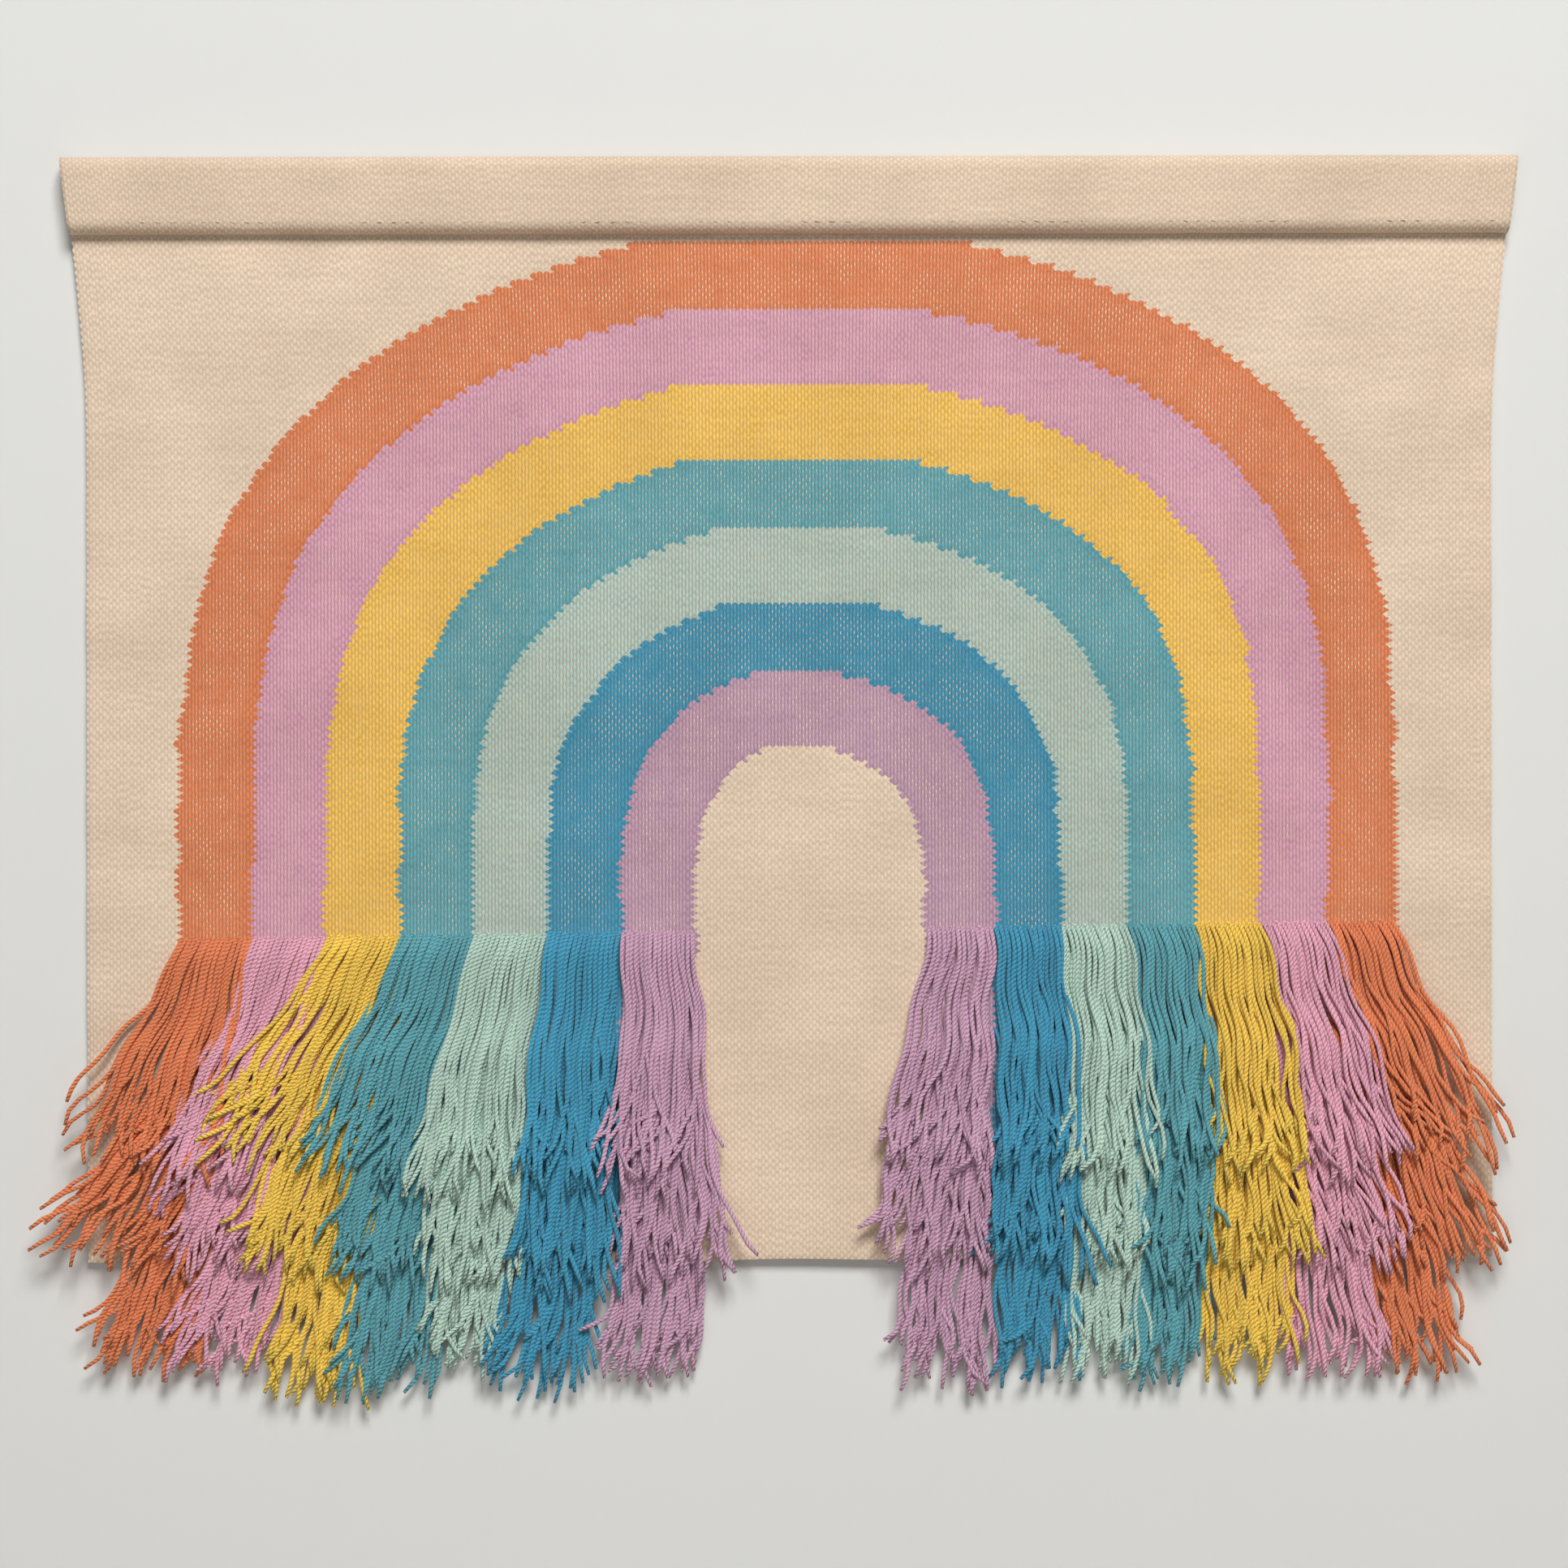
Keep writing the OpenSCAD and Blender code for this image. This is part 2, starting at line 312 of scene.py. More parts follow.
def weaveMaterial(dye):
    recipe = Recipe("weave_" + dye, 0.88, 0.22, (1.0, 0.95, 0.9))
    maths = recipe.maths
    place = recipe.map("weave")
    u, v, _ = recipe.parts(place)
    # nothing is woven quite evenly
    u = recipe.wobble(u, recipe.noise(place, 0.45), weave["uneven"][0])
    v = recipe.wobble(v, recipe.noise(place, 0.38), weave["uneven"][1])
    column = maths("ROUND", u)
    across = maths("ABSOLUTE", maths("SUBTRACT", u, column))
    # each column's floats slip up or down on their own
    slip = recipe.noise(recipe.join(maths("MULTIPLY", column, 7.31), maths("MULTIPLY", v, 0.07)), 1.0, 1.0)
    v = recipe.wobble(v, slip, weave["slip"])
    turn = maths("MULTIPLY", maths("SUBTRACT", v, column), 0.5)
    along = maths("SUBTRACT", 0.5, maths("ABSOLUTE", maths("SUBTRACT", turn, maths("ROUND", turn))))
    # the floats lie like bricks, two picks tall and half a step down in the next column
    waveU = maths("COSINE", maths("MULTIPLY", u, math.pi))
    waveV = maths("COSINE", maths("MULTIPLY", v, math.pi))
    wave = maths("MULTIPLY", waveU, waveV)
    # with a groove between columns
    rib = maths("COSINE", maths("MULTIPLY", u, 2 * math.pi))
    floatRise = maths("ADD", maths("MULTIPLY", wave, weave["lobe"]), 0.5)
    floatRise = maths("ADD", floatRise, maths("MULTIPLY", rib, weave["ribs"].get(dye, weave["rib"])))
    # the warp peeps out where two floats of a column meet
    peepAcross = recipe.fade(across, 0.13, 0.27, 1.0, 0.0)
    peep = maths("MULTIPLY", peepAcross, recipe.fade(along, 0.13, 0.25, 1.0, 0.0))
    rows = recipe.join(maths("MULTIPLY", u, 0.035), maths("MULTIPLY", v, 0.45))
    streak = recipe.noise(rows, 1.0, 3.0, 0.6)
    patch = recipe.noise(recipe.coordinates(), 14.0, 3.0, 0.55)
    speck = recipe.noise(recipe.join(maths("MULTIPLY", u, 0.16), maths("MULTIPLY", v, 0.13)), 1.0, 3.0, 0.75)
    shown = maths("MULTIPLY", recipe.attribute("warpShows"), recipe.fade(speck, 0.26, 0.72))
    shown = maths("MULTIPLY", shown, maths("MULTIPLY", peep, weave["warpShown"][dye]), clamp=True)
    # the weft packs unevenly, which shows as a fleck here and there
    fleck = recipe.noise(recipe.join(maths("MULTIPLY", u, 0.8), maths("MULTIPLY", v, 0.55)), 1.0, 2.0, 0.7)
    colour = linear(weave["dyes"][dye])
    # painted shade in the grooves between floats and painted highlight on their tops, mixed by how far each
    # float rises
    paintedShade = [c * share for c, share in zip(colour, weave["gaps"].get(dye, weave["gap"]))]
    paintedLight = [min(1.0, c * 1.05) for c in colour]
    body = recipe.mix(recipe.fade(floatRise, 0.22, 0.72), paintedShade, paintedLight)
    body = recipe.tone(body, streak, 0.28, 0.72, (0.96, 0.96, 0.96), (1.03, 1.03, 1.03))
    body = recipe.tone(body, fleck, 0.3, 0.7, (0.93, 0.93, 0.92), (1.04, 1.04, 1.04))
    body = recipe.tone(body, patch, 0.3, 0.7, (0.94, 0.93, 0.92), (1.04, 1.04, 1.04))
    # the warp peeps out, with painted shade in the cream and the pocket
    body = recipe.mix(shown, body, linear(weave["warpSeenInShade"].get(dye, weave["warpColour"])))
    fibres = recipe.noise(recipe.coordinates(), 1900.0, 2.0, 0.6)
    height = maths("ADD", floatRise, maths("MULTIPLY", fibres, 0.22))
    return recipe.finish(body, height, weave["bumpDepth"])


cloth = {
    "warpPitch": 0.0021,
    "pickPitch": 0.00233,
    "thick": 0.003,
    "relief": 0.00014,
    "selvedge": 0.004,
    "drawLength": 0.170,
    "drawPower": 1.5,
    "top": -0.0235,
    "wave": 0.0013,
    "ripple": 0.0004,
    "rippleReach": 0.16,
    "edgeWave": 0.0011,
    "teeth": (1.05, 0.42, 0.12),
    "levelTeeth": (0.42, -0.30),
    "edgeTeeth": (-0.28, 0.12),
    "teethSink": 0.0003,
    "hemRows": 3,
    "edgeColumns": 2,
    "thinEdge": 0.5,
    "thinHem": 0.6,
}
arches = {
    "springLeft": 0.400, "springRight": 0.396, "springStep": 0.004, "slopeLeft": 1.55, "slopeRight": 1.65,
    "fullLeft": 3.45, "fullRight": 3.95, "crownCut": 0.031, "wander": 0.0009, "wanderRows": 8,
}

pocketLow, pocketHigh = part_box("rod_pocket")
hemLow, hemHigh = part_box("bottom_hem")
halfWidth = hemHigh[0] + cloth["selvedge"]
drawIn = pocketHigh[0] - halfWidth
columns = 2 * round(halfWidth / cloth["warpPitch"])
picks = round((cloth["top"] - hemLow[2]) / cloth["pickPitch"])
middleY = (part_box("arch_centre")[0][1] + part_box("arch_centre")[1][1]) / 2
archBoxes = [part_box("band_" + name) for name in bandNames] + [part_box("arch_centre")]


def edgeAt(z):
    above = np.maximum(0, 1 - (pocketHigh[2] - z) / cloth["drawLength"])
    return halfWidth + drawIn * above ** cloth["drawPower"]


def hangY(x, z):
    # how far the cloth's middle stands from the wall: a few soft waves that grow towards the bottom
    drop = np.clip((cloth["top"] - z) / (cloth["top"] - hemLow[2]), 0, 1)
    waves = np.sin(11.0 * x + 0.7) + 0.6 * np.sin(23.0 * x - 1.9 + 3.0 * drop)
    waves = waves + 0.5 * np.sin(6.0 * x + 9.0 * z)
    # and shallow level ripples towards the sides
    side = np.clip(1 - (halfWidth - np.abs(x)) / cloth["rippleReach"], 0, 1) * np.minimum(1, 6 * drop)
    ripples = np.sin(105.0 * z + 6.0 * x) + 0.8 * np.sin(61.0 * z - 9.0 * x + 1.0)
    return middleY - cloth["wave"] * drop * waves * 0.6 - cloth["ripple"] * side * ripples


def insideArch(i, x, z, shift):
    low, high = archBoxes[i]
    left = x < 0
    reach = np.where(left, -low[0], high[0]) + shift
    spring = np.where(left, arches["springLeft"], arches["springRight"])
    turn = archBoxes[0][1][2] - spring - i * arches["springStep"]
    slope = np.where(left, arches["slopeLeft"], arches["slopeRight"])
    full = np.where(left, arches["fullLeft"], arches["fullRight"])
    up = np.clip((z - turn) / (high[2] - turn) / (1 + arches["crownCut"]), 0, 1)
    return ((np.abs(x) / reach) ** slope + up ** full < 1) & (z < high[2])


def ownCells(x, z):
    # 0 is the ground, 1 to 7 the bands, 8 the centre, and the outlines step by two picks
    owner = np.zeros(x.shape, int)
    pair = np.arange(x.shape[0]) // 2 * 2
    z = (z[pair] + z[np.minimum(pair + 1, x.shape[0] - 1)]) / 2
    x = x[pair]
    for i in range(len(archBoxes)):
        # each outline wanders a little, and starts anew every few rows
        step = rng.normal(0, 1, (x.shape[0] // arches["wanderRows"] + 2, 2))
        step = step.repeat(arches["wanderRows"], axis=0)[: x.shape[0]]
        shift = arches["wander"] * np.where(x < 0, step[:, :1], step[:, 1:])
        owner[insideArch(i, x, z, shift)] = i + 1
    return owner


def makeGrid():
    share = np.linspace(-1, 1, columns + 1)
    height = np.linspace(hemLow[2], cloth["top"], picks + 1)
    z = np.repeat(height[:, None], columns + 1, axis=1)
    x = share[None, :] * edgeAt(z)
    centreX = (x[1:, 1:] + x[:-1, :-1]) / 2
    centreZ = (z[1:, 1:] + z[:-1, :-1]) / 2
    owner = ownCells(centreX, centreZ)
    row, column = np.indices(x.shape)
    # pointed teeth where two colours meet on a straight run
    meet = np.zeros(x.shape, bool)
    left, right = owner[:, :-1], owner[:, 1:]
    differs = left != right
    meet[1:-1, 1:-1] = differs[1:] & differs[:-1]
    point = np.where(meet, np.where(row % 2 == 0, 1.0, -1.0), 0.0) * cloth["teeth"][0]
    tooth = point.copy()
    for reach, pull in enumerate(cloth["teeth"][1:], 1):
        near = np.zeros(x.shape)
        near[:, reach:] += point[:, :-reach]
        near[:, :-reach] += point[:, reach:]
        tooth += np.where(point == 0, near * pull, 0)
    # and short ones where they meet on a level run
    level = np.zeros(x.shape, bool)
    above, under = owner[1:], owner[:-1]
    level[1:-1, 1:-1] = (above != under)[:, 1:] & (above != under)[:, :-1]
    peak = np.where(level & ~meet, np.where(column % 2 == 0, *cloth["levelTeeth"]), 0.0)
    edge = np.zeros(x.shape)
    edge[:, 0] = np.where(row[:, 0] % 2 == 0, *cloth["edgeTeeth"])
    edge[:, -1] = -edge[:, 0]
    slide = tooth + edge
    drop = (cloth["top"] - z) / (cloth["top"] - hemLow[2])
    dip = cloth["edgeWave"] * drop ** 4 * (np.sin(17 * x + 0.4) + 0.7 * np.sin(41 * x + 2.0) - 0.6)
    x = x + slide * cloth["warpPitch"]
    z = z + peak * cloth["pickPitch"]
    bump = np.where((row + column) % 2 == 0, 1.0, -1.0) * cloth["relief"]
    bump[meet | level] -= cloth["teethSink"]
    # the hem and the selvedges run on from the cloth without a step
    bump[cloth["hemRows"]] = 0
    bump[:, [cloth["edgeColumns"], -1 - cloth["edgeColumns"]]] = 0
    half = np.full(x.shape, cloth["thick"] / 2)
    half[:, [0, -1]] *= cloth["thinEdge"]
    half[0] *= cloth["thinHem"]
    y = hangY(x, z)
    front = np.stack([x, y - half - bump, z + dip], -1)
    rear = np.stack([x, y + half - bump, z + dip], -1)
    return {"owner": owner, "front": front, "rear": rear, "u": column + slide, "v": row + peak}


def clothNormals(points):
    # taken over the whole cloth, so that no seam shows where one colour's piece ends
    normals = np.cross(np.gradient(points, axis=1), np.gradient(points, axis=0))
    return normals / np.linalg.norm(normals, axis=2)[:, :, None]


def nearEdge(owner):
    # columns from each cell to the nearest change of colour beside it
    away = np.full(owner.shape, 9.0)
    change = owner[:, 1:] != owner[:, :-1]
    away[:, 1:][change] = 0
    away[:, :-1][change] = 0
    for _ in range(8):
        away[:, 1:] = np.minimum(away[:, 1:], away[:, :-1] + 1)
        away[:, :-1] = np.minimum(away[:, :-1], away[:, 1:] + 1)
    return away


def newPiece(name, points, faces, material, uvs=None, **attributes):
    mesh = bpy.data.meshes.new(name)
    mesh.from_pydata(points.tolist(), [], faces.tolist())
    mesh.update()
    mesh.shade_smooth()
    if uvs is not None:
        layer = mesh.uv_layers.new(name=uvs[0])
        corner = np.empty(len(mesh.loops), np.int32)
        mesh.loops.foreach_get("vertex_index", corner)
        layer.data.foreach_set("uv", uvs[1][corner].astype(np.float32).ravel())
    for key, values in attributes.items():
        held = mesh.attributes.new(key, "FLOAT", "POINT")
        held.data.foreach_set("value", values.astype(np.float32))
    mesh.materials.append(material)
    piece = bpy.data.objects.new(name, mesh)
    bpy.context.scene.collection.objects.link(piece)
    return piece


def cutPiece(grid, name, mask, material):
    rows, cols = mask.shape
    wide = cols + 1
    j, i = np.nonzero(mask)
    first = j * wide + i
    quad = np.stack([first, first + 1, first + wide + 1, first + wide], 1)
    total = (rows + 1) * wide
    faces = [quad, quad[:, ::-1] + total]
    padded = np.pad(mask, 1)
    sides = ((-1, 0, 0, 1), (0, 1, 1, 2), (1, 0, 2, 3), (0, -1, 3, 0))
    for dj, di, a, b in sides:
        bare = ~padded[j + 1 + dj, i + 1 + di]
        begin, end = quad[bare, a], quad[bare, b]
        faces.append(np.stack([end, begin, begin + total, end + total], 1))
    faces = np.concatenate(faces)
    points = np.concatenate([grid["front"].reshape(-1, 3), grid["rear"].reshape(-1, 3)])
    uv = np.stack([grid["u"].ravel(), grid["v"].ravel()], 1)
    uv = np.concatenate([uv, uv + [0, 1]])
    used, faces = np.unique(faces, return_inverse=True)
    shows = np.concatenate([grid["shows"].ravel()] * 2)
    faces = faces.reshape(-1, 4)
    piece = newPiece(name, points[used], faces, material, ("weave", uv[used]), warpShows=shows[used])
    smooth = np.arange(len(piece.data.polygons)) < 2 * len(quad)
    piece.data.polygons.foreach_set("use_smooth", smooth)
    outward = (clothNormals(grid["front"]), -clothNormals(grid["rear"]))
    normals = np.concatenate([side.reshape(-1, 3) for side in outward])
    corners = normals[used][faces] * smooth[:, None, None]
    piece.data.normals_split_custom_set(corners.reshape(-1, 3).tolist())
    return piece


grid = makeGrid()
away = nearEdge(grid["owner"])
grid["shows"] = np.zeros(grid["u"].shape)
grid["shows"][:-1, :-1] = np.clip((away - 1) / 4, 0, 1)
grid["shows"][:, -1] = grid["shows"][:, -2]
hemMask = np.zeros(grid["owner"].shape, bool)
hemMask[: cloth["hemRows"]] = True
edgeMask = {"Left": np.zeros(hemMask.shape, bool), "Right": np.zeros(hemMask.shape, bool)}
edgeMask["Left"][:, : cloth["edgeColumns"]] = True
edgeMask["Right"][:, -cloth["edgeColumns"]:] = True
hemMask &= ~edgeMask["Left"] & ~edgeMask["Right"]
taken = hemMask | edgeMask["Left"] | edgeMask["Right"]
weaves = {name: weaveMaterial(name) for name in weave["dyes"]}


def addCloth(name, node, mask, dye, bends):
    piece = cutPiece(grid, name, mask, weaves[dye])
    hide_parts(node)
    if bends:
        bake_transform(piece)
    else:
        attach(piece, "cloth")


addCloth("groundCloth", "ground_cloth", (grid["owner"] == 0) & ~taken, "cream", True)
for number, band in enumerate(bandNames):
    bandMask = (grid["owner"] == number + 1) & ~taken
    addCloth("band" + band.capitalize(), "band_" + band, bandMask, band, number == 0)
centreMask = (grid["owner"] == len(bandNames) + 1) & ~taken
addCloth("archCentre", "arch_centre", centreMask, "cream", False)
addCloth("bottomHem", "bottom_hem", hemMask, "cream", False)
addCloth("selvedgeLeft", "selvedge_left", edgeMask["Left"], "cream", True)
addCloth("selvedgeRight", "selvedge_right", edgeMask["Right"], "cream", True)
print("the cloth is woven:", columns, "warps by", picks, "picks")

# rod pocket, its stitches and its batten

pocket = {
    "corner": 0.0082,
    "innerCorner": 0.0027,
    "wall": 0.0028,
    "step": 0.0023,
    "relief": 0.00012,
    "sag": 0.0004,
    "warpShows": 0.6,
}


def roundedLoop(width, height, corner, count):
    # a rounded rectangle in Y and Z, as evenly spaced points, from the bottom middle round by the back
    straightY, straightZ, arc = width - 2 * corner, height - 2 * corner, math.pi * corner / 2
    whole = 2 * (straightY + straightZ) + 4 * arc
    signs = ((1, -1), (1, 1), (-1, 1), (-1, -1))
    centres = [(a * straightY / 2, b * straightZ / 2) for a, b in signs]
    starts = ((width / 2, -straightZ / 2), (straightY / 2, height / 2),
              (-width / 2, straightZ / 2), (-straightY / 2, -height / 2))
    points = []
    for k in range(count):
        s = (k + 0.5) * whole / count - straightY / 2
        if s < 0:
            points.append((s + straightY / 2, -height / 2))
            continue
        for quarter in range(4):
            straight = (straightZ, straightY)[quarter % 2]
            if s < arc + straight or quarter == 3:
                break
            s -= arc + straight
        turn = quarter * math.pi / 2
        if s < arc:
            angle = turn + s / corner - math.pi / 2
            centre = centres[quarter]
            points.append((centre[0] + corner * math.cos(angle), centre[1] + corner * math.sin(angle)))
        else:
            begin = starts[quarter]
            points.append((begin[0] - (s - arc) * math.sin(turn), begin[1] + (s - arc) * math.cos(turn)))
    return np.array(points)


def addPocket():
    depth = pocketHigh[1] - pocketLow[1]
    height = pocketHigh[2] - pocketLow[2]
    centre = ((pocketHigh[1] + pocketLow[1]) / 2, (pocketHigh[2] + pocketLow[2]) / 2)
    count = 2 * round((depth + height) / pocket["step"])
    outer = roundedLoop(depth, height, pocket["corner"], count)
    thin = 2 * pocket["wall"]
    inner = roundedLoop(depth - thin, height - thin, pocket["innerCorner"], count)
    tangent = np.roll(outer, -1, 0) - np.roll(outer, 1, 0)
    normal = np.stack([tangent[:, 1], -tangent[:, 0]], 1)
    normal /= np.linalg.norm(normal, axis=1)[:, None]
    around, column = np.indices((count, columns + 1))
    share = np.linspace(-1, 1, columns + 1)[None, :]
    bump = np.where((around + column) % 2 == 0, 1.0, -1.0) * pocket["relief"]
    shells = []
    for loop, lift in ((outer, bump), (inner, bump * 0)):
        y = centre[0] + loop[:, :1] + normal[:, :1] * lift
        z = centre[1] + loop[:, 1:] + normal[:, 1:] * lift
        slack = pocket["sag"] * np.sin(9 * share + 1.0) * np.sin(31 * share) * (np.abs(normal[:, :1]) > 0.5)
        y = y + slack * (normal[:, :1] < 0) * (loop is outer)
        x = share * edgeAt(z)
        shells.append(np.stack(np.broadcast_arrays(x, y, z), -1).reshape(-1, 3))
    points = np.concatenate(shells)
    wide = columns + 1
    j, i = [a.ravel() for a in np.indices((count, columns))]
    after = (j + 1) % count
    skin = np.stack([j * wide + i, after * wide + i, after * wide + i + 1, j * wide + i + 1], 1)
    total = count * wide
    k = np.arange(count)
    left, leftAfter = k * wide, (k + 1) % count * wide
    right, rightAfter = left + columns, leftAfter + columns
    capLeft = np.stack([leftAfter, left, left + total, leftAfter + total], 1)
    capRight = np.stack([right, rightAfter, rightAfter + total, right + total], 1)
    faces = np.concatenate([skin, skin[:, ::-1] + total, capLeft, capRight])
    uv = np.stack([column.ravel(), around.ravel()], 1).astype(float)
    uv = np.concatenate([uv, uv])
    shows = np.full(len(points), pocket["warpShows"])
    piece = newPiece("pocketCloth", points, faces, weaves["pocket"], ("weave", uv), warpShows=shows)
    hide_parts("rod_pocket")
    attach(piece, "header")


addPocket()

stitching = {
    "length": 0.0052,
    "radius": 0.0006,
    "pitch": 0.009,
    "sides": 6,
    "rings": 7,
    "sink": 0.0007,
    "uneven": 0.0006,
    "clearEnds": 0.012,
    # painted shade in the ply grooves and painted light on the ply ridges
    "dark": (206, 184, 158),
    "light": (226, 206, 180),
}


def tube(path, radius, sides):
    # the points of rings round a path, open at both ends
    path = np.asarray(path, float)
    along = np.gradient(path, axis=0)
    along /= np.linalg.norm(along, axis=1)[:, None]
    forward = np.array([0, -1, 0])
    first = forward - along * (along @ forward)[:, None]
    first /= np.linalg.norm(first, axis=1)[:, None]
    second = np.cross(along, first)
    angle = np.arange(sides)[None, :, None] * 2 * math.pi / sides
    ring = np.cos(angle) * first[:, None] + np.sin(angle) * second[:, None]
    return (path[:, None] + ring * np.asarray(radius)[:, None, None]).reshape(-1, 3)


def tubeFaces(rings, sides):
    j, k = [a.ravel() for a in np.indices((rings - 1, sides))]
    after = (k + 1) % sides
    return np.stack([j * sides + k, j * sides + after, (j + 1) * sides + after, (j + 1) * sides + k], 1)


def stitchMaterial():
    recipe = Recipe("stitchThread", 0.8, 0.2, (1, 1, 1))
    x, _, z = recipe.parts(recipe.coordinates())
    slant = recipe.maths("ADD", recipe.maths("MULTIPLY", x, 1500.0), recipe.maths("MULTIPLY", z, 2600.0))
    # the ply twist gets painted shade in its grooves and painted light on its ridges
    ply = recipe.maths("MULTIPLY", recipe.maths("ADD", recipe.maths("SINE", slant), 1.0), 0.5)
    colour = recipe.mix(ply, linear(stitching["dark"]), linear(stitching["light"]))
    return recipe.finish(colour, ply, 0.0003)


def addStitches():
    span = pocketHigh[0] - stitching["clearEnds"]
    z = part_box("seam_stitching")[0][2] + stitching["radius"]
    count = int(2 * span / stitching["pitch"])
    turnIn = max(0, pocket["corner"] - (z - pocketLow[2]))
    bulge = math.sqrt(pocket["corner"] ** 2 - turnIn ** 2)
    faceY = pocketLow[1] + pocket["corner"] - bulge + stitching["sink"]
    points, faces = [], []
    t = np.linspace(0, 1, stitching["rings"])
    radius = stitching["radius"] * np.sin(np.pi * (0.06 + 0.88 * t)) ** 0.35
    shell = tubeFaces(stitching["rings"], stitching["sides"])
    size = stitching["rings"] * stitching["sides"]
    draw = random.Random(7)
    uneven = stitching["uneven"]
    for k in range(count):
        x = (k - (count - 1) / 2) * stitching["pitch"] + draw.uniform(-uneven, uneven)
        tilt = draw.uniform(-uneven, uneven)
        px = x + (t - 0.5) * stitching["length"]
        py = faceY + stitching["radius"] * 1.6 * (np.abs(2 * t - 1) ** 3 - 0.4)
        pz = z + tilt * (t - 0.5) * 2
        points.append(tube(np.stack([px, py, pz], 1), radius, stitching["sides"]))
        faces.append(shell + k * size)
    points, faces = np.concatenate(points), np.concatenate(faces)
    piece = newPiece("seamThread", points, faces, stitchMaterial())
    closeEnds(piece)
    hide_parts("seam_stitching")
    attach(piece, "header")


def closeEnds(piece):
    bpy.ops.object.select_all(action="DESELECT")
    bpy.context.view_layer.objects.active = piece
    piece.select_set(True)
    bpy.ops.object.mode_set(mode="EDIT")
    bpy.ops.mesh.select_all(action="SELECT")
    bpy.ops.mesh.fill_holes(sides=0)
    bpy.ops.mesh.normals_make_consistent(inside=False)
    bpy.ops.object.mode_set(mode="OBJECT")
    piece.data.shade_smooth()


addStitches()

battenWood = {"light": (214, 178, 128), "dark": (168, 126, 80), "rings": 950.0, "bend": 0.05}


def battenMaterial():
    recipe = Recipe("battenWood", 0.6, 0.0, (1, 1, 1))
    x, y, z = recipe.parts(recipe.coordinates())
    stretched = recipe.join(recipe.maths("MULTIPLY", x, 0.06), y, z)
    bend = recipe.noise(stretched, 9.0, 3.0)
    bent = recipe.maths("ADD", z, recipe.maths("MULTIPLY", bend, battenWood["bend"]))
    grain = recipe.maths("SINE", recipe.maths("MULTIPLY", bent, battenWood["rings"]))
    pores = recipe.noise(recipe.join(recipe.maths("MULTIPLY", x, 0.03), y, z), 1400.0, 2.0)
    share = recipe.maths("ADD", recipe.maths("MULTIPLY", grain, 0.12), recipe.maths("MULTIPLY", pores, 0.8))
    colour = recipe.mix(recipe.fade(share, 0.1, 0.8), linear(battenWood["dark"]), linear(battenWood["light"]))
    return recipe.finish(colour, pores, 0.0002, 0.6)


woodMaterial = battenMaterial()
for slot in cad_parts["batten"].material_slots:
    slot.material = woodMaterial
print("the pocket, its stitches and its batten are in place")

# knotted fringe

yarn = {
    "dyes": {
        "terracotta": (236, 134, 86), "pink": (236, 172, 194), "yellow": (255, 208, 84),
        "teal": (95, 170, 182), "mint": (188, 218, 204), "blue": (62, 158, 194), "mauve": (210, 166, 194),
    },
    "length": 0.156, "radius": 0.00141, "sides": 6, "rings": 18, "loopRings": 3, "perLayer": 0.0056,
    "layers": (3, 4, 4), "depth": 0.0036, "rootDrop": 0.0026, "turn": 0.0058, "clumps": 5,
    "tierUneven": (0.95, 1.04), "uneven": (0.82, 1.04), "stepOut": 0.014, "waveLength": 0.062,
    "wave": {"left": 0.0012, "right": 0.0019}, "clumpLean": 0.0015, "clumpBow": 0.0012, "spreadOut": 0.0034,
    "drift": 0.0040, "curl": 0.0022, "knotDepth": 0.0014, "rootSink": 0.0006,
    "strays": 0.24, "strayOut": (0.005, 0.017), "strayLift": (0.0005, 0.002),
    "lapOver": 0.0032, "tuckUnder": 0.003, "loopHigh": 0.55, "endSwell": (0.78, 1.07),
}
# how far each leg leans and how wide its tips spread, in mm, for the top, middle and lower tier
legs = {
    "left": {
        "terracotta": {"lean": (-44, -66, -46), "spread": (96, 84, 60), "sway": -3},
        "pink": {"lean": (-56, -50, -43), "spread": (58, 60, 56), "sway": -3},
        "yellow": {"lean": (-66, -47, -35), "spread": (68, 56, 50), "sway": -4},
        "teal": {"lean": (-50, -40, -36), "spread": (62, 58, 58), "sway": -4},
        "mint": {"lean": (-27, -27, -28), "spread": (68, 60, 48), "sway": -6},
        "blue": {"lean": (-12, -12, -28), "spread": (58, 62, 58), "sway": -3},
        "mauve": {"lean": (-4, 8, -6), "spread": (56, 72, 60), "sway": 5},
    },
    "right": {
        "terracotta": {"lean": (52, 50, 34), "spread": (74, 72, 56), "sway": 4},
        "pink": {"lean": (36, 39, 26), "spread": (66, 62, 66), "sway": 5},
        "yellow": {"lean": (15, 20, 11), "spread": (60, 70, 54), "sway": 6},
        "teal": {"lean": (10, 4, -1), "spread": (50, 46, 44), "sway": 5},
        "mint": {"lean": (9, 9, 2), "spread": (58, 46, 42), "sway": 5},
        "blue": {"lean": (4, 3, 1), "spread": (52, 58, 48), "sway": 4},
        "mauve": {"lean": (-17, -23, -12), "spread": (76, 80, 64), "sway": -2},
    },
}


